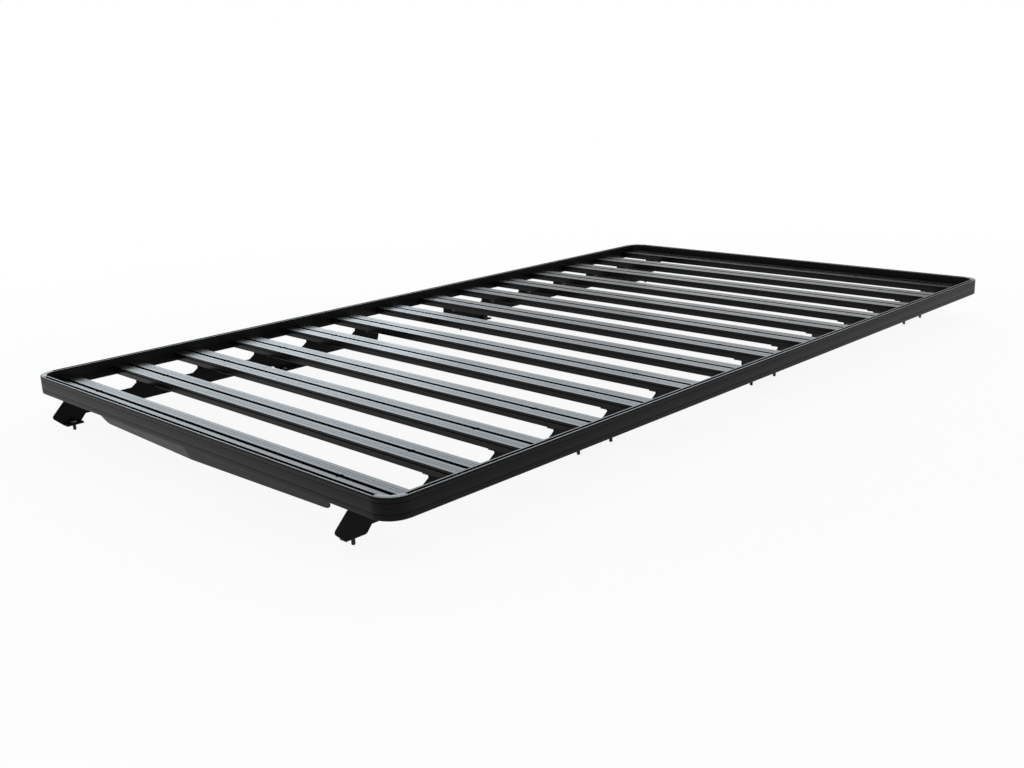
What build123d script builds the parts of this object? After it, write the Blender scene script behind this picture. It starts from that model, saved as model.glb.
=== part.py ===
"""Flat platform roof rack: a tray of extruded rails and T-slot slats on two pairs of foot rails.

Millimetres. X runs across the vehicle, Y from its front to its rear, Z up.
The origin is the middle of the footprint, level with the tips of the bolts that the rack stands on.
"""
import os

from build123d import *

# Tray
tray_width = 1345.0
tray_length = 2368.0
rail_height = 42.5
rail_width = 15.0
rail_wall = 2.2
rail_groove_width = 6.0
rail_groove_lip = 2.0
rail_groove_cavity_width = 9.4
rail_groove_cavity_height = 5.0
corner_radius = 46.0
corner_inset = 0.4
spigot_length = 30.0

# Slats
slat_count = 14
slat_width = 69.0
slat_height = 19.5
slat_below_rail_top = 20.0
slat_edge_chamfer = 0.8
slat_top_edge = 2.0
slat_side_groove_height = 5.5
slat_side_groove_depth = 3.0
slat_wall = 2.0
slat_slot_width = 8.4
slat_slot_lip = 2.2
slat_slot_cavity_width = 15.6
slat_slot_cavity_height = 6.3
first_slat_from_edge = 60.9
last_slat_from_edge = 56.8
drop_in_diameter = 15.0
drop_in_from_side = 212.5

# Foot rails
plate_thickness = 4.0
web_from_side = 124.0
web_dip_below_slat = 15.5
web_low_below_slat = 50.5
foot_below_slat = 67.5
flange_width = 22.0
bend_radius = 5.0
tab_width = 26.0
tab_setback = 5.0
scallop_run = 14.5
scallop_rise = 10.0
front_toe_lead = 6.4
front_nose_reach = 21.0
front_nose_radius = 7.0
front_nose_below_slat = 43.5
front_chin_from_edge = 1.5
front_heel_from_edge = 43.5
front_heel_run = 15.0
pad_length = 150.0
pad_bevel = 9.0
mid_front_pad_slat = 4
mid_front_pad_behind_slat = 105.5
mid_rear_pad_slat = 8
mid_rear_pad_behind_slat = 84.2
rear_pad_slat = 13
rear_pad_behind_slat = 65.0
end_overhang = 20.0
end_rake = 10.0
front_foot_slat_count = 6
rear_foot_slat_count = 7

# Mounting bolts
bolt_diameter = 8.0
bolt_head_flats = 13.0
bolt_head_height = 5.3
bolt_reach = 14.0
bolt_from_web = 11.5
bolt_pair_spacing = 109.0
front_bolt_from_edge = 23.0

# Wind deflector
deflector_thickness = 2.0
deflector_from_side = 232.5
deflector_nose_from_edge = 5.7
deflector_sweep = 0.0584
deflector_rake = 0.515
deflector_drop_middle = 38.5
deflector_drop_end = 50.5
deflector_corner_radius = 15.0
deflector_flange_rear = 74.0
seat_width = 30.0
seat_length = 24.0
inner_seat_from_middle = 130.0
outer_seat_from_end = 60.0

# Fits
fit_gap = 0.3
bolt_hole_gap = 1.25

# Levels, from the bolt tips up
foot_z = bolt_reach
slat_bottom_z = foot_z + foot_below_slat
slat_top_z = slat_bottom_z + slat_height
rail_top_z = slat_top_z + slat_below_rail_top
rail_bottom_z = rail_top_z - rail_height
rail_middle_z = rail_top_z - rail_height / 2
web_dip_z = slat_bottom_z - web_dip_below_slat
web_low_z = slat_bottom_z - web_low_below_slat
front_nose_z = slat_bottom_z - front_nose_below_slat

# Places along the rack: the footprint runs from the noses of the front feet to the rear edge of the tray
front_edge_y = -(tray_length - front_nose_reach) / 2
rear_edge_y = front_edge_y + tray_length
tray_middle_y = front_edge_y + tray_length / 2
slat_pitch = (tray_length - first_slat_from_edge - last_slat_from_edge) / (slat_count - 1)
slat_middles = [front_edge_y + first_slat_from_edge + slat_pitch * i for i in range(slat_count)]
pad_middles = {
    "mid_front": slat_middles[mid_front_pad_slat - 1] + mid_front_pad_behind_slat,
    "mid_rear": slat_middles[mid_rear_pad_slat - 1] + mid_rear_pad_behind_slat,
    "rear": slat_middles[rear_pad_slat - 1] + rear_pad_behind_slat,
}
front_bolt_y = front_edge_y + front_bolt_from_edge

# Sizes that follow from the fits
groove_depth = rail_groove_lip + rail_groove_cavity_height
chamber_width = rail_width - 2 * rail_wall
chamber_height = rail_height - groove_depth - 2 * rail_wall
chamber_middle_z = rail_bottom_z + rail_wall + chamber_height / 2
slat_length = tray_width - 2 * rail_width - 2 * fit_gap
bolt_hole_diameter = bolt_diameter + 2 * bolt_hole_gap
tab_hole_side = bolt_diameter + 2 * fit_gap
web_outer_from_middle = tray_width / 2 - web_from_side
web_inner_from_middle = web_outer_from_middle - plate_thickness
bolt_from_middle = web_outer_from_middle - bolt_from_web
drop_in_from_middle = tray_width / 2 - drop_in_from_side
deflector_half_width = tray_width / 2 - deflector_from_side
seat_places = (inner_seat_from_middle, deflector_half_width - outer_seat_from_end)


def rail_section():
    """Box section with an undercut groove along its top, upright, centred on the rail."""
    body = Rectangle(rail_width, rail_height)
    top = rail_height / 2
    mouth = Pos(0, top - rail_groove_lip / 2) * Rectangle(rail_groove_width, rail_groove_lip)
    cavity_middle = top - rail_groove_lip - rail_groove_cavity_height / 2
    cavity = Pos(0, cavity_middle) * Rectangle(rail_groove_cavity_width, rail_groove_cavity_height)
    chamber_middle = chamber_middle_z - rail_middle_z
    chamber = Pos(0, chamber_middle) * Rectangle(chamber_width, chamber_height)
    return body - mouth - cavity - chamber


def cross_rail(outer_y, inward):
    """Rail across the tray, its outer face at outer_y; inward is +1 at the front and -1 at the rear."""
    length = tray_width - 2 * corner_radius
    place = Pos(0, outer_y + inward * rail_width / 2, rail_middle_z)
    return place * extrude(Plane.YZ * rail_section(), length / 2, both=True)


def side_rail(side):
    """Rail along the tray, on the side given by the sign of X."""
    length = tray_length - 2 * corner_radius
    place = Pos(side * (tray_width - rail_width) / 2, tray_middle_y, rail_middle_z)
    return place * extrude(Plane.XZ * rail_section(), length / 2, both=True)


def corner(side, end):
    """Quarter-round casting, a little slimmer than the rails, with a spigot for the chamber of each."""
    middle_radius = corner_radius - rail_width / 2
    face_width = rail_width - 2 * corner_inset
    face_height = rail_height - 2 * corner_inset
    section = Plane.XZ * (Pos(middle_radius, 0) * Rectangle(face_width, face_height))
    body = revolve(section, Axis.Z, 90)
    spigot_z = chamber_middle_z - rail_middle_z
    thick = chamber_width - 2 * fit_gap
    tall = chamber_height - 2 * fit_gap
    body += Pos(middle_radius, -spigot_length / 2, spigot_z) * Box(thick, spigot_length, tall)
    body += Pos(-spigot_length / 2, middle_radius, spigot_z) * Box(spigot_length, thick, tall)
    centre_x = tray_width / 2 - corner_radius
    centre_y = tray_length / 2 - corner_radius
    body = Pos(centre_x, centre_y, rail_middle_z) * body
    if side < 0:
        body = mirror(body, Plane.YZ)
    if end < 0:
        body = mirror(body, Plane.XZ)
    return Pos(0, tray_middle_y, 0) * body


def slat_section():
    """Hollow extrusion with a T-slot along its top and its underside, and a groove in each side."""
    body = chamfer(Rectangle(slat_width, slat_height).vertices(), slat_edge_chamfer)
    groove_floor = slat_width / 2 - slat_side_groove_depth
    groove_middle = slat_height / 2 - slat_top_edge - slat_side_groove_height / 2
    cavity_side = slat_slot_cavity_width / 2 + slat_wall
    chamber_wide = groove_floor - slat_wall - cavity_side
    chamber_tall = slat_height - 2 * slat_wall
    for face in (1, -1):
        surface = face * slat_height / 2
        lip_middle = surface - face * slat_slot_lip / 2
        cavity_middle = surface - face * (slat_slot_lip + slat_slot_cavity_height / 2)
        body -= Pos(0, lip_middle) * Rectangle(slat_slot_width, slat_slot_lip)
        body -= Pos(0, cavity_middle) * Rectangle(slat_slot_cavity_width, slat_slot_cavity_height)
        body -= Pos(face * (cavity_side + chamber_wide / 2), 0) * Rectangle(chamber_wide, chamber_tall)
        groove = Rectangle(slat_side_groove_depth, slat_side_groove_height)
        body -= Pos(face * (groove_floor + slat_side_groove_depth / 2), groove_middle) * groove
    return body


def tray_inside():
    """Room inside the rails and corners, with the fit gap taken off, at the height of the slats."""
    wide = tray_width - 2 * rail_width - 2 * fit_gap
    long = tray_length - 2 * rail_width - 2 * fit_gap
    outline = RectangleRounded(wide, long, corner_radius - rail_width - fit_gap)
    return Pos(0, tray_middle_y, slat_bottom_z) * extrude(outline, slat_height)


def slat(middle_y, at_corners):
    """Slat with a round drop-in opening in its top slot near each end, trimmed where it lies in corners."""
    bar = extrude(Plane.YZ * slat_section(), slat_length / 2, both=True)
    lip_middle = slat_height / 2 - slat_slot_lip / 2
    for side in (1, -1):
        drop_in = Cylinder(drop_in_diameter / 2, slat_slot_lip)
        bar -= Pos(side * drop_in_from_middle, 0, lip_middle) * drop_in
    bar = Pos(0, middle_y, slat_top_z - slat_height / 2) * bar
    return bar & tray_inside() if at_corners else bar


def trough(y_from, y_to, level, floor, slants):
    """Cut of the web's outline from a level to its floor, with slanted ends given as run and rise."""
    (first_run, first_rise), (last_run, last_rise) = slants
    way = 1 if level > floor else -1
    beyond = 2 * level - floor
    return make_face(Polyline(
        (y_from, beyond),
        (y_from, floor + way * first_rise),
        (y_from + first_run, floor),
        (y_to - last_run, floor),
        (y_to, floor + way * last_rise),
        (y_to, beyond),
        close=True,
    ))


def blank_outline(slats, nosed):
    """Web before its scallops: a rounded nose or a plain front, and a raked rear end."""
    front_y = slats[0] - slat_width / 2
    rear_y = slats[-1] + slat_width / 2 + end_overhang
    if nosed:
        top = (front_y - front_toe_lead, slat_bottom_z)
        low = (front_edge_y + front_chin_from_edge, foot_z)
        tip = (front_edge_y - front_nose_reach, front_nose_z)
        nose = CenterArc((tip[0] + front_nose_radius, tip[1]), front_nose_radius, 0, 360).edge()
        brow = ConstrainedLines(nose, top).edges().sort_by(Axis.X)[0]
        chin = ConstrainedLines(nose, low).edges().sort_by(Axis.X)[0]
        front = [brow, ThreePointArc(brow @ 0, tip, chin @ 0).edge(), chin]
    else:
        top = (front_y + tab_setback, slat_bottom_z)
        low = (front_y + tab_setback, foot_z)
        front = [Line(top, low).edge()]
    rear = Polyline(
        low,
        (rear_y - end_rake, foot_z),
        (rear_y - end_rake, web_low_z),
        (rear_y, web_dip_z),
        (rear_y, slat_bottom_z),
        top,
    )
    return make_face(front + rear.edges())


def web_outline(slats, feet, nosed):
    """Upright outline of one foot rail's web: humps under its slats, scallops between them, feet below."""
    outline = blank_outline(slats, nosed)
    scallop_slant = (scallop_run, scallop_rise)
    for middle in slats:
        hump_end = middle + slat_width / 2
        next_hump = hump_end + slat_pitch - slat_width
        outline -= trough(hump_end, next_hump, slat_bottom_z, web_dip_z, (scallop_slant, scallop_slant))
    ends = [slats[0] - slat_pitch] + [y for foot in feet for y in foot] + [slats[-1] + slat_pitch]
    cuts = list(zip(ends[0::2], ends[1::2]))
    pad_slant = (pad_bevel, pad_bevel)
    slants = [(pad_slant, pad_slant)] * len(cuts)
    if nosed:
        slants[1] = ((front_heel_run, web_low_z - foot_z), pad_slant)
    for number in range(1 if nosed else 0, len(cuts)):
        outline -= trough(*cuts[number], foot_z, web_low_z, slants[number])
    return outline


def foot_rail(side, slats, pads, nosed):
    """Bent plate: an upright web, a tab on top at each slat and a flange under each foot, turned inwards.

    Each tab has a square hole for the bolt that holds its slat, and each flange round ones to mount it.
    """
    pad_ys = [pad_middles[name] for name in pads]
    feet = [(y - pad_length / 2, y + pad_length / 2) for y in pad_ys]
    bolts = [y + half * bolt_pair_spacing / 2 for y in pad_ys for half in (-1, 1)]
    if nosed:
        feet.insert(0, (front_edge_y + front_chin_from_edge, front_edge_y + front_heel_from_edge))
        bolts.insert(0, front_bolt_y)
    web = Plane.YZ.offset(web_inner_from_middle) * web_outline(slats, feet, nosed)
    plate = extrude(web, plate_thickness)
    tab_middle_x = web_outer_from_middle - tab_width / 2
    tab_z = slat_bottom_z - plate_thickness / 2
    for middle in slats:
        tab = Box(tab_width, slat_width - 2 * tab_setback, plate_thickness)
        plate += Pos(tab_middle_x, middle, tab_z) * tab
        tab_hole = Box(tab_hole_side, tab_hole_side, plate_thickness)
        plate -= Pos(tab_middle_x - plate_thickness / 2, middle, tab_z) * tab_hole
    flange_middle_x = web_outer_from_middle - flange_width / 2
    flange_z = foot_z + plate_thickness / 2
    for start, stop in feet:
        flange = Box(flange_width, stop - start, plate_thickness)
        plate += Pos(flange_middle_x, (start + stop) / 2, flange_z) * flange
    plate -= bend_trim()
    for bolt_y in bolts:
        bolt_hole = Cylinder(bolt_hole_diameter / 2, plate_thickness)
        plate -= Pos(bolt_from_middle, bolt_y, flange_z) * bolt_hole
    return plate if side > 0 else mirror(plate, Plane.YZ)


def bend_trim():
    """Sharp corner that a bend lacks, along the outside of a foot rail at the level of its flanges."""
    inner_x = web_outer_from_middle - bend_radius
    upper_z = foot_z + bend_radius
    sharp = Pos(inner_x + bend_radius / 2, upper_z - bend_radius / 2) * Rectangle(bend_radius, bend_radius)
    bend = Pos(inner_x, upper_z) * Circle(bend_radius)
    return extrude(Plane.XZ * (sharp - bend), tray_length, both=True)


def bolt(x, y):
    """Hexagon bolt through a foot flange, head up, with two flats of its head along the web."""
    upwards = (Align.CENTER, Align.CENTER, Align.MIN)
    head_z = foot_z + plate_thickness
    shank = Cylinder(bolt_diameter / 2, head_z, align=upwards)
    hexagon = RegularPolygon(bolt_head_flats / 2, 6, major_radius=False, rotation=30)
    return Pos(x, y, 0) * (shank + Pos(0, 0, head_z) * extrude(hexagon, bolt_head_height))


def deflector_y(x, z):
    """Front face of the deflector: swept back from the middle and raked back downwards."""
    nose_y = front_edge_y + deflector_nose_from_edge
    return nose_y + deflector_sweep * abs(x) + deflector_rake * (rail_bottom_z - z)


def deflector():
    """V-fronted plate under the front rail, with a flange whose raised seats bolt up to the first slat."""
    low_middle_z = rail_bottom_z - deflector_drop_middle
    low_end_z = rail_bottom_z - deflector_drop_end
    corners = [
        (0, rail_bottom_z),
        (deflector_half_width, rail_bottom_z),
        (deflector_half_width, low_end_z),
        (0, low_middle_z),
    ]
    face = make_face(Polyline(*[(x, deflector_y(x, z), z) for x, z in corners], close=True)).face()
    low_corner = face.vertices().sort_by(Axis.Z)[0]
    face = face.fillet_2d(deflector_corner_radius, [low_corner])
    half = extrude(face, deflector_thickness, dir=(0, 1, 0))
    flange_y = front_edge_y + deflector_flange_rear
    flange = make_face(Polyline(
        (0, deflector_y(0, rail_bottom_z)),
        (deflector_half_width, deflector_y(deflector_half_width, rail_bottom_z)),
        (deflector_half_width, flange_y),
        (0, flange_y),
        close=True,
    ))
    half += Pos(0, 0, rail_bottom_z - deflector_thickness) * extrude(flange, deflector_thickness)
    seat_height = slat_bottom_z - rail_bottom_z + deflector_thickness
    for x in seat_places:
        seat = Box(seat_width, seat_length, seat_height)
        half += Pos(x, slat_middles[0], slat_bottom_z - seat_height / 2) * seat
    return half + mirror(half, Plane.YZ)


def main():
    """Builds every piece and writes each as its own file."""
    pieces = {
        "front_rail": cross_rail(front_edge_y, 1),
        "rear_rail": cross_rail(rear_edge_y, -1),
        "wind_deflector": deflector(),
    }
    for number, middle in enumerate(slat_middles, start=1):
        pieces[f"slat_{number:02d}"] = slat(middle, number in (1, slat_count))
    for side, side_name in ((-1, "left"), (1, "right")):
        pieces[f"{side_name}_rail"] = side_rail(side)
        pieces[f"corner_front_{side_name}"] = corner(side, -1)
        pieces[f"corner_rear_{side_name}"] = corner(side, 1)
        front_slats = slat_middles[:front_foot_slat_count]
        rear_slats = slat_middles[-rear_foot_slat_count:]
        pieces[f"foot_rail_front_{side_name}"] = foot_rail(side, front_slats, ["mid_front"], True)
        pieces[f"foot_rail_rear_{side_name}"] = foot_rail(side, rear_slats, ["mid_rear", "rear"], False)
        bolt_x = side * bolt_from_middle
        pieces[f"bolt_front_{side_name}"] = bolt(bolt_x, front_bolt_y)
        for pad, middle in pad_middles.items():
            pair = [bolt(bolt_x, middle + half * bolt_pair_spacing / 2) for half in (-1, 1)]
            pieces[f"bolts_{pad}_{side_name}"] = Compound(children=pair)
    os.makedirs("parts", exist_ok=True)
    for name, piece in pieces.items():
        export_step(piece, f"parts/{name}.step")


main()
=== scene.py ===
"""Flat platform roof rack: its looks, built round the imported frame.

Metres, apart from the sizes under a heading that says millimetres. X runs across the vehicle, Y from
its front to its rear, Z up.
"""
import math

import bpy
import numpy as np
from mathutils import Matrix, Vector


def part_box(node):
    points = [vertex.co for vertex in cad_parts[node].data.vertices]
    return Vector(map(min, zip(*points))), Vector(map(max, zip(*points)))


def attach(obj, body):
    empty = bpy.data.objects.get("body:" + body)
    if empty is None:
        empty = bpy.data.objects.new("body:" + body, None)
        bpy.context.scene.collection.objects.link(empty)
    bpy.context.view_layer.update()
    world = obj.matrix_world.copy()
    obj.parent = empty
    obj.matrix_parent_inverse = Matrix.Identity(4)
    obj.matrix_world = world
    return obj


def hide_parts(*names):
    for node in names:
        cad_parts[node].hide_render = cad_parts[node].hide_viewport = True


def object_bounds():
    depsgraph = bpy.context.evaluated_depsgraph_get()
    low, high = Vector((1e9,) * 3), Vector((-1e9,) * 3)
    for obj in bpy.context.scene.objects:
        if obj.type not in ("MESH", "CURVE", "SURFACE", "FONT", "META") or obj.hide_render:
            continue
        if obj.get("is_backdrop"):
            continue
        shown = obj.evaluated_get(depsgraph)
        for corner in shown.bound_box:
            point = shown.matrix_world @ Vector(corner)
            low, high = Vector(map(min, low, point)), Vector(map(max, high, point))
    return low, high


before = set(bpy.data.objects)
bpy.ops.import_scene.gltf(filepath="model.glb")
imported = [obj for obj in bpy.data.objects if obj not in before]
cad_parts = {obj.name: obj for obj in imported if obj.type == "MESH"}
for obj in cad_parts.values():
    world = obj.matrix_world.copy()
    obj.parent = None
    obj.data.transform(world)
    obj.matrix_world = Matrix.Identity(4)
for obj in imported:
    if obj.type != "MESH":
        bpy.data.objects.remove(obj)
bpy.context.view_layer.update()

MM = 0.001
ENDS = ("front", "rear")
SIDES = ("left", "right")

# Edges that turn by fewer degrees than this are shaded smooth
SMOOTH_BELOW = 12.0
DEFLECTOR_SMOOTH_BELOW = 4.0

# Steps of the arcs that round the corners of a section
ARC_STEPS = 3
FINE_ARC_STEPS = 4

# Rails, in millimetres
RAIL_GROOVE_HALF = 3.8
RAIL_LIP = 2.0
RAIL_CAVITY_HALF = 4.7
RAIL_CAVITY_FLOOR = 7.0
RAIL_EDGE_RADIUS = 0.6
RAIL_MOUTH_RADIUS = 0.15
INNER_RADIUS = 0.15

# Corner castings, in millimetres
CORNER_INSET = 0.2
CORNER_EDGE_RADIUS = 0.7
CORNER_STEPS = 48

# Fine lines in the outer faces of the rails and the castings, in millimetres: how far below the rails'
# top they lie, how deep they are cut, and half their widths
FACE_LINE_DEPTHS = (2.0, 10.4, 31.5)
FACE_LINE_SINK = 2.0
RAIL_LINE_HALVES = (0.55, 0.38, 0.38)
CORNER_LINE_HALVES = (0.6, 0.6, 0.6)

# Slats, in millimetres
SLAT_COUNT = 14
SLOT_HALF = 5.0
SLOT_LIP = 2.2
SLOT_CAVITY_HALF = 7.8
SLOT_CAVITY_DEPTH = 8.5
SLOT_EDGE_RADIUS = 0.15
SIDE_GROOVE_TOP = 2.0
SIDE_GROOVE_BOTTOM = 7.5
SIDE_GROOVE_SINK = 3.0
SIDE_LIP_RADIUS = SIDE_GROOVE_TOP / 3
SLAT_EDGE_RADIUS = 0.8
SLAT_END_GAP = 0.3
TOP_LINE_PLACES = (15.5, 23.0)
TOP_LINE_HALF = 0.6
TOP_LINE_SINK = 0.4
DROP_IN_RADIUS = 7.5
DROP_IN_FROM_RAIL_OUTSIDE = 212.5
DROP_IN_STEPS = 16

# Bolts and nuts, in millimetres
BOLT_RADIUS = 4.0
THREAD_PITCH = 1.25
THREAD_DEPTH = 0.62
THREAD_STEPS = 6
THREAD_SINK = 2.0
SHANK_SINK = 1.0
TIP_BEVEL = 1.1
HEX_FLATS = 13.0
HEX_REACH = HEX_FLATS / 2 / math.cos(math.pi / 6)
HEX_END_RADIUS = HEX_FLATS * 0.47
HEX_BEVEL_TALL = 1.1
HEX_BEVEL_STEPS = 4
HEX_BEVEL_CLEAR = 0.05
HEX_SEAT_BEVEL = 0.55
HEAD_TALL = 5.3
NUT_TALL = 6.5
NUT_TAIL = 3.5
WASHER_THICK = 1.2
WASHER_BEVEL = 0.2
HEAD_WASHER_RADIUS = 6.8
NUT_WASHER_RADIUS = 8.5
ROUND_STEPS = 48
FLANGE_THICK = 4.0
TAB_THICK = 4.0
TAB_HOLE_FROM_WEB = 15.0
TAB_BOLT_RISE = 2.4
DEFLECTOR_BOLT_XS = (-380.0, -130.0, 130.0, 380.0)

# How many slats the front and the rear foot rails hold
FRONT_FOOT_SLATS = 6
REAR_FOOT_SLATS = 7

# Wind deflector, in millimetres, apart from the sweep and the rake, which are slopes; the stub is its
# front leg before the drop
DEFLECTOR_SHEET = 2.0
DEFLECTOR_SWEEP = 0.0584
DEFLECTOR_RAKE = 0.515
DEFLECTOR_DROP_MIDDLE = 38.5
DEFLECTOR_DROP_END = 50.5
DEFLECTOR_CORNER_WIDE = 27.0
DEFLECTOR_CORNER_TALL = 24.0
DEFLECTOR_CORNER_STEPS = 14
DEFLECTOR_BEND_RADIUS = 2.5
DEFLECTOR_INNER_BEND = 0.5
DEFLECTOR_EDGE_RADIUS = 0.4
DEFLECTOR_STUB = 2 * DEFLECTOR_BEND_RADIUS + DEFLECTOR_SHEET
SEAT_WIDE, SEAT_LONG = 30.0, 24.0
SEAT_RADIUS = 2.0
SEAT_SINK = 0.5


# Shapes
def unit(v):
    """Each row divided by its length."""
    return v / np.linalg.norm(v, axis=-1, keepdims=True)


def arcs(points, radii, steps):
    """Corners of a closed polygon, each turned into an arc.

    The arc's centre lies on the corner's bisector, at the radius over the sine of half the corner, and the
    arc's points turn evenly from one tangent point to the other. Gives the arcs, one row a corner, and a
    mask that is 1 between the tangent points.
    """
    p = np.asarray(points, float)
    r = np.broadcast_to(np.asarray(radii, float), len(p))[:, None]
    back = unit(np.roll(p, 1, 0) - p)
    ahead = unit(np.roll(p, -1, 0) - p)
    half = 0.5 * np.arccos(np.clip((back * ahead).sum(1), -1, 1))[:, None]
    centre = p + unit(back + ahead) * r / np.sin(half)
    start = p + back * r / np.tan(half) - centre
    stop = p + ahead * r / np.tan(half) - centre
    turn = math.pi - 2 * half
    s = np.linspace(0, 1, steps + 1)[None]
    from_start = np.sin((1 - s) * turn) / np.sin(turn)
    from_stop = np.sin(s * turn) / np.sin(turn)
    rows = centre[:, None] + from_start[..., None] * start[:, None] + from_stop[..., None] * stop[:, None]
    mask = np.broadcast_to(((s > 0) & (s < 1)).astype(float), rows.shape[:2])
    return rows, mask


def rounded(points, radii):
    """Closed polygon with fine arcs for its corners, as one line of points, and the arcs' mask."""
    rows, mask = arcs(points, radii, FINE_ARC_STEPS)
    return rows.reshape(-1, 2), mask.reshape(-1)


def shell(rings, edge=None):
    """Closed skin over a grid of points, one ring a row: quads from each ring to the next, with a flat
    cap on the first and the last ring. A skin whose signed volume is below zero is turned round."""
    m, n = rings.shape[:2]
    points = rings.reshape(-1, 3)
    index = np.arange(m * n).reshape(m, n)
    beside = np.roll(index, -1, 1)
    quads = np.stack([index[:-1], beside[:-1], beside[1:], index[1:]], -1).reshape(-1, 4)
    caps = [index[0][::-1], index[-1]]
    a, b, c, d = (points[quads[:, k]] - points.mean(0) for k in range(4))
    volume = (a * np.cross(b, c)).sum() + (a * np.cross(c, d)).sum()
    for cap in caps:
        ring = points[cap] - points.mean(0)
        volume += (ring[0] * np.cross(ring[1:-1], ring[2:]).sum(0)).sum()
    if volume < 0:
        quads = quads[:, ::-1]
        caps = [cap[::-1] for cap in caps]
    mask = np.zeros(m * n) if edge is None else np.broadcast_to(edge, (m, n)).reshape(-1)
    return points, quads.tolist() + [cap.tolist() for cap in caps], mask


def into_scene(name, data):
    """New object with its mesh, lamp or lens, linked to the scene."""
    made = bpy.data.objects.new(name, data)
    bpy.context.scene.collection.objects.link(made)
    return made


def make_piece(name, shells, material, nodes=(), smooth_below=SMOOTH_BELOW):
    """One object from one or more skins, in metres, which rides on the rack and stands for its CAD nodes,
    if it has any."""
    points, faces, masks, count = [], [], [], 0
    for skin_points, skin_faces, skin_mask in shells:
        faces += [[i + count for i in face] for face in skin_faces]
        points.append(skin_points)
        masks.append(skin_mask)
        count += len(skin_points)
    mesh = bpy.data.meshes.new(name)
    mesh.from_pydata(np.concatenate(points).tolist(), [], faces)
    layer = mesh.attributes.new("edge", "FLOAT", "POINT")
    layer.data.foreach_set("value", np.concatenate(masks))
    mesh.shade_smooth()
    mesh.set_sharp_from_angle(angle=math.radians(smooth_below))
    mesh.materials.append(material)
    mesh.update()
    piece = into_scene(name, mesh)
    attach(piece, "root")
    if nodes:
        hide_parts(*nodes)


def face_lines(half, inset, line_halves):
    """Fine square grooves in the face at positive across, from the lowest up, as corners of an outline
    whose top lies the inset below the rails' top."""
    depths = np.array(FACE_LINE_DEPTHS[::-1])[:, None] - inset
    acrosses = half - FACE_LINE_SINK * np.array([0, 1, 1, 0])
    levels = np.array(line_halves[::-1])[:, None] * [-1, -1, 1, 1] - depths
    return np.stack(np.broadcast_arrays(acrosses, levels), -1).reshape(-1, 2).tolist()


def rail_outline(half, tall):
    """Rail's section as (across, below the top) in millimetres: a box with a T-groove in its top and fine
    lines in its outer face, which is the side of positive across, all its corners rounded."""
    groove, cavity, lip, floor = RAIL_GROOVE_HALF, RAIL_CAVITY_HALF, RAIL_LIP, RAIL_CAVITY_FLOOR
    lines = face_lines(half, 0, RAIL_LINE_HALVES)
    corners = [
        (half, 0), (groove, 0), (groove, -lip), (cavity, -lip), (cavity, -floor),
        (-cavity, -floor), (-cavity, -lip), (-groove, -lip), (-groove, 0), (-half, 0),
        (-half, -tall), (half, -tall),
    ] + lines
    edge, mouth, inner = RAIL_EDGE_RADIUS, RAIL_MOUTH_RADIUS, INNER_RADIUS
    radii = [edge, mouth] + [inner] * 6 + [mouth, edge, edge, edge] + [inner] * len(lines)
    return rounded(corners, radii)


def rail(node, along, outward):
    """Rail's outline carried straight along X (0) or Y (1), over the whole length of its CAD node.
    Outward is the sign of the way that its outer face looks."""
    low, high = (np.array(c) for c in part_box(node))
    across = 1 - along
    half = (high[across] - low[across]) / 2 / MM
    tall = (high[2] - low[2]) / MM
    outline, mask = rail_outline(half, tall)
    stations = np.array([low[along], high[along]])
    rings = np.empty((2, len(outline), 3))
    rings[..., along] = stations[:, None]
    rings[..., across] = (low[across] + high[across]) / 2 + outward * outline[:, 0] * MM
    rings[..., 2] = high[2] + outline[:, 1] * MM
    make_piece(f"{node}_bar", [shell(rings, mask)], RAIL_COATS[along], [node])


def corner_outline(half, tall):
    """Casting's section as (across, below the top) in millimetres: a rounded bar, with the rails' fine
    lines in its outer face, which is the side of positive across."""
    lines = face_lines(half, CORNER_INSET, CORNER_LINE_HALVES)
    corners = [(half, 0), (-half, 0), (-half, -tall), (half, -tall)]
    return rounded(corners + lines, [CORNER_EDGE_RADIUS] * len(corners) + [INNER_RADIUS] * len(lines))


def corner(end, side):
    """Casting's outline turned a quarter round the corner's centre, from the side rail to the cross
    rail."""
    node = f"corner_{end}_{side}"
    cross_low, cross_high = (np.array(c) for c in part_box(f"{end}_rail"))
    side_low, side_high = (np.array(c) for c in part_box(f"{side}_rail"))
    right, rear = side == "right", end == "rear"
    centre_x = cross_high[0] if right else cross_low[0]
    centre_y = side_high[1] if rear else side_low[1]
    outer_x = side_high[0] if right else side_low[0]
    radius = abs(outer_x - centre_x)
    half = (side_high[0] - side_low[0]) / 2
    tall = (side_high[2] - side_low[2]) / MM - 2 * CORNER_INSET
    outline, mask = corner_outline(half / MM - CORNER_INSET, tall)
    turn = np.linspace(0, math.pi / 2, CORNER_STEPS + 1)[:, None]
    reach = radius - half + outline[:, 0] * MM
    rings = np.stack(np.broadcast_arrays(
        centre_x + (1 if right else -1) * reach * np.cos(turn),
        centre_y + (1 if rear else -1) * reach * np.sin(turn),
        side_high[2] - CORNER_INSET * MM + outline[:, 1] * MM,
    ), -1)
    make_piece(f"{node}_cast", [shell(rings, mask)], CORNER_COAT, [node])


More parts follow.
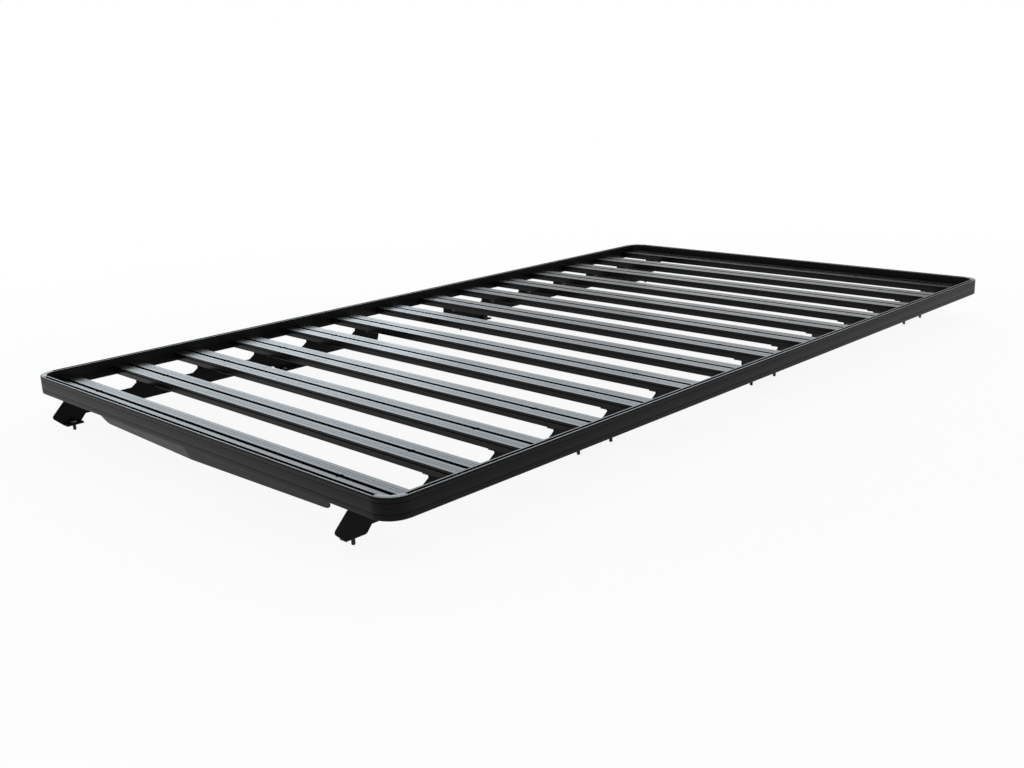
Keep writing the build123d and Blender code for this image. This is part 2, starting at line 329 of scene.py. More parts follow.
def slat_outline(half, tall):
    """Slat's section as (across, below the top) in millimetres, with its mask and with how each point
    moves at a drop-in.

    A flat bar with a T-slot in its top and its underside and a groove in each side. Both halves of the
    top have fine V-shaped lines, sunk into it.
    """
    slot, cavity, lip, depth = SLOT_HALF, SLOT_CAVITY_HALF, SLOT_LIP, SLOT_CAVITY_DEPTH
    low_lip, low_ceiling = lip - tall, depth - tall
    groove_top, groove_bottom, groove_floor = -SIDE_GROOVE_TOP, -SIDE_GROOVE_BOTTOM, half - SIDE_GROOVE_SINK
    right = [
        (-slot, -tall), (-slot, low_lip), (-cavity, low_lip), (-cavity, low_ceiling),
        (cavity, low_ceiling), (cavity, low_lip), (slot, low_lip), (slot, -tall),
        (half, -tall), (half, groove_bottom), (groove_floor, groove_bottom),
        (groove_floor, groove_top), (half, groove_top), (half, 0),
    ]
    top = [
        (slot, 0), (slot, -lip), (cavity, -lip), (cavity, -depth),
        (-cavity, -depth), (-cavity, -lip), (-slot, -lip), (-slot, 0),
    ]
    left = [
        (-half, 0), (-half, groove_top), (-groove_floor, groove_top),
        (-groove_floor, groove_bottom), (-half, groove_bottom), (-half, -tall),
    ]
    edge, mouth, inner, side_lip = SLAT_EDGE_RADIUS, SLOT_EDGE_RADIUS, INNER_RADIUS, SIDE_LIP_RADIUS
    slot_radii = [mouth] + [inner] * 6 + [mouth]
    right_radii = slot_radii + [edge, mouth, inner, inner, side_lip, edge]
    left_radii = [edge, side_lip, inner, inner, mouth, edge]
    rows, mask = arcs(right + top + left, right_radii + slot_radii + left_radii, ARC_STEPS)
    first, last = len(right), len(right) + len(top)
    moves = np.zeros(rows.shape[:2])
    moves[first:first + 2] = 1
    moves[last - 2:last] = -1
    places = np.array(TOP_LINE_PLACES)[:, None] + [-TOP_LINE_HALF, 0, TOP_LINE_HALF]
    lines = np.stack(np.broadcast_arrays(places, [0, -TOP_LINE_SINK, 0]), -1).reshape(-1, 2)
    plain = np.zeros(len(lines))

    def with_lines(values, right_lines, left_lines):
        """Values of all corners in one row, with those of the fine lines put in beside the slot."""
        parts = (values[:first], right_lines, values[first:last], left_lines, values[last:])
        return np.concatenate([part.reshape(-1, *values.shape[2:]) for part in parts])

    outline = with_lines(rows, lines[::-1], lines * (-1, 1))
    return outline, with_lines(mask, plain, plain), with_lines(moves, plain, plain)


def slat(number):
    """Slat's outline carried along X. At a drop-in the mouth of the slot follows a circle, and in the
    corners of the tray the ends follow the castings' inner faces: the end's X is a function of Y."""
    node = f"slat_{number:02d}"
    low, high = (np.array(c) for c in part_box(node))
    middle_y = (low[1] + high[1]) / 2
    half = (high[1] - low[1]) / 2 / MM
    outline, edges, moved = slat_outline(half, (high[2] - low[2]) / MM)
    drop_x = TRAY_HIGH[0] - DROP_IN_FROM_RAIL_OUTSIDE * MM
    half_turn = np.linspace(math.pi, 0, DROP_IN_STEPS + 1)
    chord = DROP_IN_RADIUS * np.cos(half_turn) * MM
    stations = np.concatenate([[low[0]], -drop_x + chord, drop_x + chord, [high[0]]])
    rise = DROP_IN_RADIUS * np.sin(half_turn)
    spread = np.maximum(np.concatenate([[0], rise, rise, [0]]) - SLOT_HALF, 0)
    y = middle_y + (outline[:, 0] + spread[:, None] * moved) * MM
    x = np.repeat(stations[:, None], len(outline), 1)
    bend = CORNER_RADIUS - RAIL_WIDTH - SLAT_END_GAP * MM
    for edge_y, inward in ((TRAY_LOW[1], 1), (TRAY_HIGH[1], -1)):
        depth = (y[0] - edge_y) * inward - RAIL_WIDTH - SLAT_END_GAP * MM
        short = bend - np.sqrt(np.maximum(bend ** 2 - np.clip(bend - depth, 0, bend) ** 2, 0))
        x[0] += short
        x[-1] -= short
    rings = np.stack([x, y, np.broadcast_to(high[2] + outline[:, 1] * MM, x.shape)], -1)
    make_piece(f"{node}_bar", [shell(rings, edges)], SLAT_COAT, [node])


def deflector():
    """Bent sheet under the front rail: an angle section carried along X.

    The section's front leg moves back by the sweep times the distance from the middle. Its lower edge
    moves along the rake, by the drop, which grows evenly from the middle to the ends and shrinks along a
    quarter of an ellipse at the lower corners. The flange has flat seats that reach up to the first slat.
    """
    node = "wind_deflector"
    low, high = (np.array(c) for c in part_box(node))
    rail_low_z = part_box("front_rail")[0][2]
    slat_low, slat_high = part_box("slat_01")
    half = (high[0] - low[0]) / 2 / MM
    reach = (high[1] - low[1]) / MM
    sheet, stub, rake = DEFLECTOR_SHEET, DEFLECTOR_STUB, DEFLECTOR_RAKE
    corners = [
        (0, 0), (reach, 0), (reach, -sheet),
        (sheet + rake * sheet, -sheet), (sheet + rake * stub, -stub), (rake * stub, -stub),
    ]
    edge = DEFLECTOR_EDGE_RADIUS
    outline, mask = rounded(corners, [DEFLECTOR_BEND_RADIUS, edge, edge, DEFLECTOR_INNER_BEND, edge, edge])
    swept = np.repeat([1, 0, 0, 1, 1, 1], FINE_ARC_STEPS + 1)
    dropped = np.repeat([0, 0, 0, 0, 1, 1], FINE_ARC_STEPS + 1)
    quarter = np.sin(np.linspace(0, math.pi / 2, DEFLECTOR_CORNER_STEPS + 1))
    side = np.concatenate([[0], half - DEFLECTOR_CORNER_WIDE * (1 - quarter)])
    stations = np.concatenate([-side[:0:-1], side])
    from_middle = np.abs(stations)
    drop = DEFLECTOR_DROP_MIDDLE + (DEFLECTOR_DROP_END - DEFLECTOR_DROP_MIDDLE) * from_middle / half
    into_corner = np.clip((from_middle - half) / DEFLECTOR_CORNER_WIDE + 1, 0, 1)
    drop = drop - DEFLECTOR_CORNER_TALL * (1 - np.sqrt(1 - into_corner ** 2)) - stub
    y = outline[:, 0] + DEFLECTOR_SWEEP * from_middle[:, None] * swept + rake * drop[:, None] * dropped
    z = outline[:, 1] - drop[:, None] * dropped
    x = np.broadcast_to(stations[:, None], y.shape)
    rings = np.stack([x * MM, low[1] + y * MM, rail_low_z + z * MM], -1)
    skins = [shell(rings, mask)]
    seat = np.array([(1, 1), (-1, 1), (-1, -1), (1, -1)]) * (SEAT_WIDE / 2, SEAT_LONG / 2)
    plan = rounded(seat, SEAT_RADIUS)[0] * MM
    heights = np.array([rail_low_z - SEAT_SINK * MM, slat_low[2]])
    for seat_x in DEFLECTOR_BOLT_XS:
        block = np.empty((2, len(plan), 3))
        block[..., :2] = plan + (seat_x * MM, (slat_low[1] + slat_high[1]) / 2)
        block[..., 2] = heights[:, None]
        skins.append(shell(block))
    make_piece(f"{node}_sheet", skins, DEFLECTOR_COAT, [node], DEFLECTOR_SMOOTH_BELOW)


def turned(radii, heights, x, y):
    """Skin of rings round an upright axis: each ring has its height and its radius, which may change
    round it."""
    angle = np.linspace(0, 2 * math.pi, ROUND_STEPS, endpoint=False)
    radii = np.asarray(radii, float).reshape(len(heights), -1)
    radii = np.broadcast_to(radii, (len(heights), ROUND_STEPS)) * MM
    levels = np.broadcast_to(np.asarray(heights)[:, None], radii.shape)
    return shell(np.stack([x + radii * np.cos(angle), y + radii * np.sin(angle), levels], -1))


def thread(x, y, z_from, z_to):
    """Threaded shank, from its lower end up: the radius falls and rises once in each pitch along Z, a
    turn round the axis moves that wave by one pitch, and both ends taper to a bevel."""
    count = int((z_to - z_from) / MM / THREAD_PITCH * THREAD_STEPS) + 2
    heights = np.linspace(z_from, z_to, count)
    angle = np.linspace(0, 1, ROUND_STEPS, endpoint=False)
    phase = (heights[:, None] / MM / THREAD_PITCH + angle) % 1
    radii = BOLT_RADIUS - THREAD_DEPTH * (1 - np.abs(2 * phase - 1))
    from_end = np.minimum(heights - z_from, z_to - heights)[:, None] / MM
    radii = np.minimum(radii, BOLT_RADIUS - TIP_BEVEL + from_end)
    return turned(radii, heights, x, y)


def hexagon(x, y, z_from, z_to, bevel_both):
    """Hexagon head or nut: the radius is the smaller of the hexagon's, flats over twice the cosine of the
    angle from the nearest flat, and of a cone that bevels its free end. With both ends bevelled, its
    first ring is narrower too."""
    angle = np.linspace(0, 2 * math.pi, ROUND_STEPS, endpoint=False)
    from_flat = (angle + math.pi / 6) % (math.pi / 3) - math.pi / 6
    six = HEX_FLATS / 2 / np.cos(from_flat)
    rise = np.linspace(0, 1, HEX_BEVEL_STEPS + 1)
    cone = HEX_REACH + HEX_BEVEL_CLEAR - rise * (HEX_REACH - HEX_END_RADIUS)
    tall = abs(z_to - z_from) / MM
    way = 1 if z_to > z_from else -1
    seat_depths = [0.0, HEX_SEAT_BEVEL] if bevel_both else [0.0]
    seat_limits = [HEX_END_RADIUS, math.inf] if bevel_both else [math.inf]
    depths = np.concatenate([seat_depths, tall - HEX_BEVEL_TALL + rise * HEX_BEVEL_TALL])
    limits = np.concatenate([seat_limits, cone])
    return turned(np.minimum(six, limits[:, None]), z_from + way * depths * MM, x, y)


def washer(x, y, z_from, thick, radius):
    """Flat disc with a small bevel round both of its edges; a negative thickness goes down."""
    bevel = WASHER_BEVEL
    way = 1 if thick > 0 else -1
    depths = np.array([0, bevel, abs(thick) - bevel, abs(thick)]) * way
    return turned([radius - bevel, radius, radius, radius - bevel], z_from + depths * MM, x, y)


def mount_bolt(x, y, tip_z, flange_z):
    """Bolt that holds a foot to a roof: a threaded shank down through the flange, a washer and a hexagon
    head."""
    top = flange_z + FLANGE_THICK * MM
    return [
        thread(x, y, tip_z, top),
        washer(x, y, top, WASHER_THICK, HEAD_WASHER_RADIUS),
        hexagon(x, y, top + WASHER_THICK * MM, top + HEAD_TALL * MM, False),
    ]


def slot_bolt(x, y, seat_z, slat_z):
    """Bolt from a slat's lower slot down through what it holds: a hexagon head in the slot, and under the
    seat a washer, a nut and the thread that stands out of it."""
    head_z = slat_z + TAB_BOLT_RISE * MM
    nut_z = seat_z - WASHER_THICK * MM
    nut_end = nut_z - NUT_TALL * MM
    return [
        hexagon(x, y, head_z, head_z + HEAD_TALL * MM, False),
        turned([BOLT_RADIUS, BOLT_RADIUS], [nut_end + SHANK_SINK * MM, head_z + SHANK_SINK * MM], x, y),
        washer(x, y, seat_z, -WASHER_THICK, NUT_WASHER_RADIUS),
        hexagon(x, y, nut_z, nut_end, True),
        thread(x, y, nut_end - NUT_TAIL * MM, nut_end + THREAD_SINK * MM),
    ]


# Node trees
VALUE, VECTOR = "NodeSocketFloat", "NodeSocketVector"
MIX_COLOURS_IN = (6, 7)
MIX_COLOUR_OUT = 2


def feed(tree, socket, value):
    """Gives an input its value, or a link where the value is a socket."""
    if isinstance(value, bpy.types.NodeSocket):
        tree.links.new(value, socket)
    else:
        socket.default_value = value


def add(tree, kind, **inputs):
    """New node whose named inputs take a value, or a link where a socket is given."""
    made = tree.nodes.new(kind)
    for name, value in inputs.items():
        feed(tree, made.inputs[name.replace("_", " ")], value)
    return made


def maths(tree, operation, first, second, clamp=False):
    """Math node on two values or sockets; gives its result."""
    made = tree.nodes.new("ShaderNodeMath")
    made.operation = operation
    made.use_clamp = clamp
    for socket, value in zip(made.inputs, (first, second)):
        feed(tree, socket, value)
    return made.outputs[0]


def ramp(tree, value, low, high):
    """Value mapped smoothly from the range low to high onto 0 to 1, clamped."""
    made = tree.nodes.new("ShaderNodeMapRange")
    made.interpolation_type = "SMOOTHSTEP"
    feed(tree, made.inputs["Value"], value)
    feed(tree, made.inputs["From Min"], low)
    feed(tree, made.inputs["From Max"], high)
    return made.outputs["Result"]


def noise(tree, vector, scale, detail, roughness=0.5):
    """Noise texture's value at a place."""
    made = add(tree, "ShaderNodeTexNoise", Vector=vector, Scale=scale, Detail=detail, Roughness=roughness)
    return made.outputs["Fac"]


def facing_up(tree, low, high):
    """How far a face looks up: its normal's Z, mapped from the range low to high onto 0 to 1."""
    normal = tree.nodes.new("ShaderNodeNewGeometry").outputs["Normal"]
    return ramp(tree, add(tree, "ShaderNodeSeparateXYZ", Vector=normal).outputs["Z"], low, high)


def blend_colours(tree, factor, first, second):
    """Colour mixed from the first, a colour or a socket, to the second by a mask."""
    made = tree.nodes.new("ShaderNodeMix")
    made.data_type = "RGBA"
    feed(tree, made.inputs["Factor"], factor)
    for place, value in zip(MIX_COLOURS_IN, (first, second)):
        feed(tree, made.inputs[place], value)
    return made.outputs[MIX_COLOUR_OUT]


def blend_shaders(tree, factor, first, second):
    """Shader mixed from the first to the second by a factor."""
    made = tree.nodes.new("ShaderNodeMixShader")
    for socket, value in zip(made.inputs, (factor, first, second)):
        feed(tree, socket, value)
    return made.outputs[0]


def empty_tree(owner):
    """Node tree of a material or a world, with nothing in it."""
    owner.use_nodes = True
    owner.node_tree.nodes.clear()
    return owner.node_tree


def group(name, inputs, outputs):
    """Empty shader node group with named sockets; gives the tree, its inputs by name and its outputs."""
    tree = bpy.data.node_groups.new(name, "ShaderNodeTree")
    for label, kind in inputs:
        tree.interface.new_socket(label, in_out="INPUT", socket_type=kind)
    for label in outputs:
        tree.interface.new_socket(label, in_out="OUTPUT", socket_type=VALUE)
    entry = tree.nodes.new("NodeGroupInput")
    leave = tree.nodes.new("NodeGroupOutput")
    return tree, entry.outputs, leave.inputs


def apply_effect(tree, effect, **inputs):
    """A shared effect placed in a material, with its own values; gives its outputs."""
    made = tree.nodes.new("ShaderNodeGroup")
    made.node_tree = effect
    for name, value in inputs.items():
        feed(tree, made.inputs[name], value)
    return made.outputs


# Noises of the shared effects: scale to the metre, detail, and roughness where it isn't the usual one
CLOUD_NOISE = (7.0, 4.0, 0.6)
WEAR_AND_HIGHLIGHT_NOISE = (45.0, 5.0, 0.7)
BROAD_DUST_NOISE = (11.0, 6.0, 0.65)
FINE_DUST_NOISE = (260.0, 2.0)
POLISH_NOISE = (6.0, 3.0)
STREAK_NOISE = (1.0, 3.0, 0.6)
PEEL_DETAIL = 2.0

# Ranges of the noises, and of the Z of normals that look up, which are mapped onto 0 to 1
CLOUD_RANGE = (0.3, 0.7)
WEAR_AND_HIGHLIGHT_RANGE = (0.42, 0.72)
BROAD_DUST_RANGE = (0.3, 0.75)
FINE_DUST_RANGE = (0.3, 0.7)
STREAK_RANGE = (0.3, 0.7)
DUST_FACING = (0.3, 0.95)
POLISH_FACING = (0.6, 0.98)

# The polish of rubbed tops is the least plus the span times the noise
POLISH_LEAST = 0.7
POLISH_SPAN = 0.6


def make_grain():
    """Powder coat's skin: a fine peel for the height and a broad cloud for the tone."""
    tree, given, out = group("coat_grain", [("Vector", VECTOR), ("Fineness", VALUE)], ["Height", "Tone"])
    feed(tree, out["Height"], noise(tree, given["Vector"], given["Fineness"], PEEL_DETAIL))
    feed(tree, out["Tone"], ramp(tree, noise(tree, given["Vector"], *CLOUD_NOISE), *CLOUD_RANGE))
    return tree


def make_edge_wear_and_highlight():
    """Rubbed edges and a painted edge highlight: the mesh's own edge mask, broken up by noise, which
    lightens the colour of rounded edges.
    """
    tree, given, out = group(
        "edge_wear_and_highlight", [("Vector", VECTOR), ("Edge", VALUE), ("Amount", VALUE)], ["Mask"])
    patches = ramp(tree, noise(tree, given["Vector"], *WEAR_AND_HIGHLIGHT_NOISE), *WEAR_AND_HIGHLIGHT_RANGE)
    level = maths(tree, "MULTIPLY", given["Edge"], patches)
    feed(tree, out["Mask"], maths(tree, "MULTIPLY", level, given["Amount"], clamp=True))
    return tree


def make_dust():
    """Settled dust: faces that look up, times a fine and a broad noise."""
    tree, given, out = group("settled_dust", [("Vector", VECTOR), ("Amount", VALUE)], ["Mask"])
    broad = ramp(tree, noise(tree, given["Vector"], *BROAD_DUST_NOISE), *BROAD_DUST_RANGE)
    fine = ramp(tree, noise(tree, given["Vector"], *FINE_DUST_NOISE), *FINE_DUST_RANGE)
    level = maths(tree, "MULTIPLY", facing_up(tree, *DUST_FACING), broad)
    speck = maths(tree, "MULTIPLY", level, fine)
    feed(tree, out["Mask"], maths(tree, "MULTIPLY", speck, given["Amount"], clamp=True))
    return tree


def make_polish():
    """Tops rubbed smooth by what lies on them: faces that look up, times a broad noise."""
    tree, given, out = group("rubbed_tops", [("Vector", VECTOR), ("Amount", VALUE)], ["Mask"])
    broad = maths(tree, "MULTIPLY", noise(tree, given["Vector"], *POLISH_NOISE), POLISH_SPAN)
    patches = maths(tree, "ADD", broad, POLISH_LEAST)
    level = maths(tree, "MULTIPLY", facing_up(tree, *POLISH_FACING), patches)
    feed(tree, out["Mask"], maths(tree, "MULTIPLY", level, given["Amount"], clamp=True))
    return tree


def make_streaks():
    """Marks along an extrusion or a rolled sheet: noise drawn out along one axis by stretching its
    coordinates."""
    tree, given, out = group("drawn_streaks", [("Vector", VECTOR), ("Stretch", VECTOR)], ["Tone"])
    stretched = tree.nodes.new("ShaderNodeVectorMath")
    stretched.operation = "MULTIPLY"
    feed(tree, stretched.inputs[0], given["Vector"])
    feed(tree, stretched.inputs[1], given["Stretch"])
    feed(tree, out["Tone"], ramp(tree, noise(tree, stretched.outputs[0], *STREAK_NOISE), *STREAK_RANGE))
    return tree


GRAIN = make_grain()
EDGE_WEAR_AND_HIGHLIGHT = make_edge_wear_and_highlight()
DUST = make_dust()
POLISH = make_polish()
STREAKS = make_streaks()

# Colours, with an alpha of 1
DUST_COLOUR = (0.22, 0.21, 0.195, 1)
BLACK = (0.0022, 0.0023, 0.0025, 1)
SOFT_BLACK = (0.0048, 0.005, 0.0054, 1)
# Lighter black of the rounded edges: partly rubbed coat, partly a painted edge highlight
WORN_AND_HIGHLIT_COAT = (0.03, 0.031, 0.033, 1)
DARK_STEEL = (0.05, 0.051, 0.053, 1)
PALE_STEEL = (0.09, 0.091, 0.093, 1)
WORN_AND_HIGHLIT_STEEL = (0.2, 0.2, 0.2, 1)

# How many streaks there are to the metre along X, Y and Z
ALONG_X = (3.0, 420.0, 420.0)
ALONG_Y = (420.0, 3.0, 420.0)
ROUND_CAST = (60.0, 60.0, 60.0)
ROUND_STEEL = (150.0, 150.0, 150.0)

# What the clouding and the dust add to the roughness, the peel's height, and the rubbed tops' own roughness
TONE_ROUGHENS = 0.08
DUST_ROUGHENS = 0.4
PEEL_TALL = 0.0003
POLISH_ROUGHNESS = 0.2

# The powder coat's peel, with its fineness to the metre, and how far its edges are rubbed and lightened,
# partly as a painted highlight
COAT_PEEL = 0.015
COAT_FINENESS = 1500.0
COAT_WEAR_AND_HIGHLIGHT = 0.5


def finish(name, dark, light, worn_and_highlit, rough, ior, metallic, peel, fineness, wear_and_highlight, dust, polish, stretch):
    """Coated or bare metal: a clouded and streaked base colour, rubbed edges that are lightened, partly as
    a painted edge highlight, rubbed tops, a little dust, and a fine peel.

    Dark and light are the two ends of the base colour's clouding; rough is the roughness under them.
    """
    material = bpy.data.materials.new(name)
    tree = empty_tree(material)
    where = tree.nodes.new("ShaderNodeTexCoord").outputs["Object"]
    edge = tree.nodes.new("ShaderNodeAttribute")
    edge.attribute_name = "edge"
    grain = apply_effect(tree, GRAIN, Vector=where, Fineness=fineness)
    streaks = apply_effect(tree, STREAKS, Vector=where, Stretch=stretch)
    # Mask of rounded edges in patches: partly rubbed wear, partly a painted edge highlight
    rubbed_and_highlit = apply_effect(tree, EDGE_WEAR_AND_HIGHLIGHT, Vector=where, Edge=edge.outputs["Fac"], Amount=wear_and_highlight)["Mask"]
    settled = apply_effect(tree, DUST, Vector=where, Amount=dust)["Mask"]
    smooth = apply_effect(tree, POLISH, Vector=where, Amount=polish)["Mask"]
    tone = maths(tree, "MULTIPLY", maths(tree, "ADD", grain["Tone"], streaks["Tone"]), 0.5)
    colour = blend_colours(tree, tone, dark, light)
    # Lightens the rounded edges: worn coat, and partly a painted highlight
    colour = blend_colours(tree, rubbed_and_highlit, colour, worn_and_highlit)
    colour = blend_colours(tree, settled, colour, DUST_COLOUR)
    gloss = maths(tree, "ADD", maths(tree, "MULTIPLY", tone, TONE_ROUGHENS), rough)
    gloss = maths(tree, "ADD", gloss, maths(tree, "MULTIPLY", settled, DUST_ROUGHENS), clamp=True)
    bump = add(tree, "ShaderNodeBump", Height=grain["Height"], Strength=peel, Distance=PEEL_TALL)
    shader = add(
        tree, "ShaderNodeBsdfPrincipled", Base_Color=colour, Roughness=gloss, Normal=bump.outputs["Normal"],
        IOR=ior, Metallic=metallic, Coat_Roughness=POLISH_ROUGHNESS, Coat_Weight=smooth)
    add(tree, "ShaderNodeOutputMaterial", Surface=shader.outputs[0])
    return material


def coat(name, stretch, rough=0.27, ior=1.2, dust=0.02, polish=0.0):
    """Black satin powder coat."""
    return finish(
        name, BLACK, SOFT_BLACK, WORN_AND_HIGHLIT_COAT, rough=rough, ior=ior, metallic=0.0, peel=COAT_PEEL,
        fineness=COAT_FINENESS, wear_and_highlight=COAT_WEAR_AND_HIGHLIGHT, dust=dust, polish=polish, stretch=stretch)


RAIL_COATS = (
    coat("rail_coat_across", ALONG_X, ior=1.222, polish=0.2),
    coat("rail_coat_along", ALONG_Y, polish=0.2),
)
CORNER_COAT = coat("casting_coat", ROUND_CAST, rough=0.3, ior=1.19, polish=0.35)
SLAT_COAT = coat("slat_coat", ALONG_X, rough=0.18, ior=1.245)
FOOT_COAT = coat("foot_rail_coat", ALONG_Y, rough=0.42, ior=1.16, dust=0.05)
DEFLECTOR_COAT = coat("deflector_coat", ALONG_X, rough=0.3, ior=1.115, dust=0.03)
BOLT_STEEL = finish(
    "black_steel", DARK_STEEL, PALE_STEEL, WORN_AND_HIGHLIT_STEEL, rough=0.3, ior=1.5, metallic=1.0, peel=0.1,
    fineness=1400.0, wear_and_highlight=0.0, dust=0.05, polish=0.0, stretch=ROUND_STEEL)

# The tray's outside, from its rails
TRAY_LOW = np.array([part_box("left_rail")[0][0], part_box("front_rail")[0][1]])
TRAY_HIGH = np.array([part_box("right_rail")[1][0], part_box("rear_rail")[1][1]])
RAIL_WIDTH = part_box("front_rail")[1][1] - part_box("front_rail")[0][1]
CORNER_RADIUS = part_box("front_rail")[0][0] - TRAY_LOW[0]

rail("front_rail", along=0, outward=-1)
rail("rear_rail", along=0, outward=1)
rail("left_rail", along=1, outward=-1)
rail("right_rail", along=1, outward=1)
for end in ENDS:
    for side in SIDES:
        corner(end, side)
for number in range(1, SLAT_COUNT + 1):
    slat(number)
deflector()

# Foot rails keep their CAD shape
for node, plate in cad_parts.items():
    if node.startswith("foot_rail"):
        plate.data.materials[0] = FOOT_COAT

# Bolts that hold the feet to a roof
foot_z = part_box("foot_rail_front_left")[0][2]
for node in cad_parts:
    if node.startswith("bolt"):
        low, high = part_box(node)
        x = (low[0] + high[0]) / 2
        reach = HEX_REACH * MM
        ys = [low[1] + reach, high[1] - reach] if node.startswith("bolts") else [(low[1] + high[1]) / 2]
        bolts = [skin for y in ys for skin in mount_bolt(x, y, low[2], foot_z)]
        make_piece(f"{node}_set", bolts, BOLT_STEEL, [node])

# Bolts that hold the foot rails to the slats
slat_low_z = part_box("slat_01")[0][2]
slat_ys = [sum(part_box(f"slat_{n:02d}")[k][1] for k in (0, 1)) / 2 for n in range(1, SLAT_COUNT + 1)]
held_ys = (slat_ys[:FRONT_FOOT_SLATS], slat_ys[-REAR_FOOT_SLATS:])
seat_z = slat_low_z - TAB_THICK * MM
for end, ys in zip(ENDS, held_ys):
    for side in SIDES:
        low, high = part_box(f"foot_rail_{end}_{side}")
        x = high[0] - TAB_HOLE_FROM_WEB * MM if side == "right" else low[0] + TAB_HOLE_FROM_WEB * MM
        bolts = [skin for y in ys for skin in slot_bolt(x, y, seat_z, slat_low_z)]
        make_piece(f"tab_bolts_{end}_{side}", bolts, BOLT_STEEL)

# Bolts that hold the deflector to the first slat
seat_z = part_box("front_rail")[0][2] - DEFLECTOR_SHEET * MM
bolts = [skin for x in DEFLECTOR_BOLT_XS for skin in slot_bolt(x * MM, slat_ys[0], seat_z, slat_low_z)]
make_piece("deflector_bolts", bolts, BOLT_STEEL)

# Studio: the floor's size and colour, how much of it is plain white to the eye, where the rest fades to
# white too, and the brightness of white as it is seen and as it lights
FLOOR_HALF = 40.0
FLOOR_LINES = 9
FLOOR_PALE = (0.82, 0.82, 0.82, 1)
FLOOR_GLOW = 0.9
FADE_FROM, FADE_TO = 0.9, 3.0
WHITE = (1, 1, 1, 1)
SEEN_WHITE = 1.0
LIGHT_WHITE = 0.62

# Colours of the lamps
LAMP_WHITE = (1, 1, 1)
LAMP_COOL = (0.79, 0.91, 1.0)
LAMP_PALE_COOL = (0.9, 0.97, 1.0)

# Camera, at the photograph's place, from the fit to the tray's edges: angles in degrees, lens and sensor in
# millimetres, picture in pixels
CAMERA_PLACE = (2.055051, -2.272950, 0.808877)
CAMERA_AZIMUTH, CAMERA_ELEVATION, CAMERA_ROLL = 44.49563, 15.72554, -2.17491
CAMERA_LENS = 39.9963
CAMERA_FAR = 200.0
SENSOR_WIDE = 36.0
PICTURE_WIDE = 1024
CAMERA_SHIFT = -2.8716 / PICTURE_WIDE


def white_for_eye(tree, plain, bright):
    """Shader that is the bright one for what the camera, gloss and glass see, and the plain one for the
    rest."""
    path = tree.nodes.new("ShaderNodeLightPath").outputs
    mirrored = maths(tree, "ADD", path["Is Camera Ray"], path["Is Glossy Ray"])
    seen = maths(tree, "ADD", mirrored, path["Is Transmission Ray"], clamp=True)
    return blend_shaders(tree, seen, plain, bright)


def make_floor():
    """Pale floor: a flat grid under the bolt tips. Most of what the eye sees of it is plain white, and
    the rest is lit, so that it keeps the rack's shadow near the middle."""
    steps = np.linspace(-FLOOR_HALF, FLOOR_HALF, FLOOR_LINES)
    x, y = np.meshgrid(steps, steps)
    grid = np.stack([x, y, np.zeros_like(x)], -1).reshape(-1, 3)
    index = np.arange(len(grid)).reshape(x.shape)
    quads = np.stack([index[:-1, :-1], index[:-1, 1:], index[1:, 1:], index[1:, :-1]], -1).reshape(-1, 4)
    mesh = bpy.data.meshes.new("studio_floor")
    mesh.from_pydata(grid.tolist(), [], quads.tolist())
    floor = into_scene("studio_floor", mesh)
    material = bpy.data.materials.new("pale_floor")
    tree = empty_tree(material)
    lit = add(tree, "ShaderNodeBsdfDiffuse", Color=FLOOR_PALE).outputs[0]
    glow = add(tree, "ShaderNodeEmission", Color=WHITE, Strength=SEEN_WHITE).outputs[0]
    from_middle = tree.nodes.new("ShaderNodeVectorMath")
    from_middle.operation = "LENGTH"
    feed(tree, from_middle.inputs[0], tree.nodes.new("ShaderNodeTexCoord").outputs["Object"])
    far = ramp(tree, from_middle.outputs["Value"], FADE_FROM, FADE_TO)
    share = maths(tree, "ADD", maths(tree, "MULTIPLY", far, 1 - FLOOR_GLOW), FLOOR_GLOW)
    mostly_white = blend_shaders(tree, share, lit, glow)
    add(tree, "ShaderNodeOutputMaterial", Surface=white_for_eye(tree, lit, mostly_white))
    mesh.materials.append(material)
    floor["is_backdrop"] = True


def make_world():
    """White surroundings: full white to the eye and in reflections, softer as light."""
    world = bpy.data.worlds.new("studio_white")
    bpy.context.scene.world = world
    tree = empty_tree(world)
    soft = add(tree, "ShaderNodeBackground", Color=WHITE, Strength=LIGHT_WHITE).outputs[0]
    white = add(tree, "ShaderNodeBackground", Color=WHITE, Strength=SEEN_WHITE).outputs[0]
    add(tree, "ShaderNodeOutputWorld", Surface=white_for_eye(tree, soft, white))


def stand(thing, right, up, back, place):
    """Puts a lamp or the camera at its place, with its own X, Y and Z pointing right, up and back."""
    turn = np.eye(4)
    turn[:3] = np.stack([right, up, back, place], 1)
    thing.matrix_world = Matrix(turn.tolist())


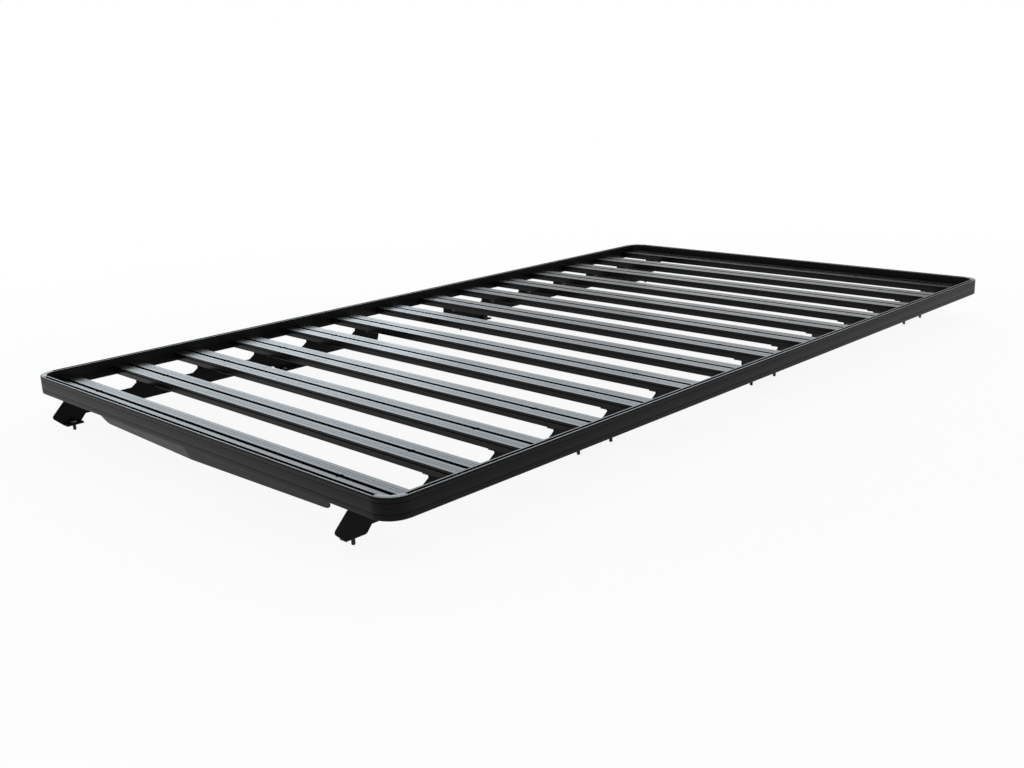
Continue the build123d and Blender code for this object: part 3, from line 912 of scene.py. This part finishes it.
def softbox(name, place, aim, wide, tall, brightness, colour):
    """Soft area lamp: its power is its brightness times pi times its area, and its local -Z looks at the
    aim."""
    lamp = bpy.data.lights.new(name, "AREA")
    lamp.shape = "RECTANGLE"
    lamp.size, lamp.size_y = wide, tall
    lamp.energy = brightness * math.pi * wide * tall
    lamp.color = colour
    holder = into_scene(name, lamp)
    back = unit(np.array(place, float) - np.array(aim, float))
    right = unit(np.cross([0, 0, 1.0], back))
    stand(holder, right, np.cross(back, right), back, place)
    holder.visible_camera = False


def make_camera():
    """Camera that looks down at the rack's front right corner, with the photograph's small roll."""
    azimuth, elevation, roll = (math.radians(a) for a in (CAMERA_AZIMUTH, CAMERA_ELEVATION, CAMERA_ROLL))
    ahead = np.array([
        -math.sin(azimuth) * math.cos(elevation),
        math.cos(azimuth) * math.cos(elevation),
        -math.sin(elevation),
    ])
    level = unit(np.cross(ahead, [0, 0, 1.0]))
    upright = np.cross(level, ahead)
    right = math.cos(roll) * level + math.sin(roll) * upright
    up = math.cos(roll) * upright - math.sin(roll) * level
    lens = bpy.data.cameras.new("photo_camera")
    lens.sensor_width = SENSOR_WIDE
    lens.lens = CAMERA_LENS
    lens.shift_x = CAMERA_SHIFT
    lens.clip_end = CAMERA_FAR
    camera = into_scene("photo_camera", lens)
    stand(camera, right, up, -ahead, CAMERA_PLACE)
    bpy.context.scene.camera = camera


make_floor()
make_world()
softbox("top_softbox", place=(0.4, -0.4, 4.2), aim=(0, 0, 0), wide=4.0, tall=4.0, brightness=0.6,
        colour=LAMP_WHITE)
softbox("back_softbox", place=(-5.8, 3.0, 2.45), aim=(-5.8, 0.0, 2.45), wide=12.4, tall=2.6, brightness=2.4,
        colour=LAMP_COOL)
softbox("left_strip", place=(-5.0, 2.95, 1.22), aim=(-5.0, 0.0, 1.22), wide=2.4, tall=0.5, brightness=1.9,
        colour=LAMP_COOL)
softbox("right_strip", place=(-1.2, 2.95, 0.9), aim=(-1.2, 0.0, 0.9), wide=1.5, tall=0.7, brightness=0.65,
        colour=LAMP_PALE_COOL)
make_camera()
bpy.context.scene.view_settings.view_transform = "Standard"

low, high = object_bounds()
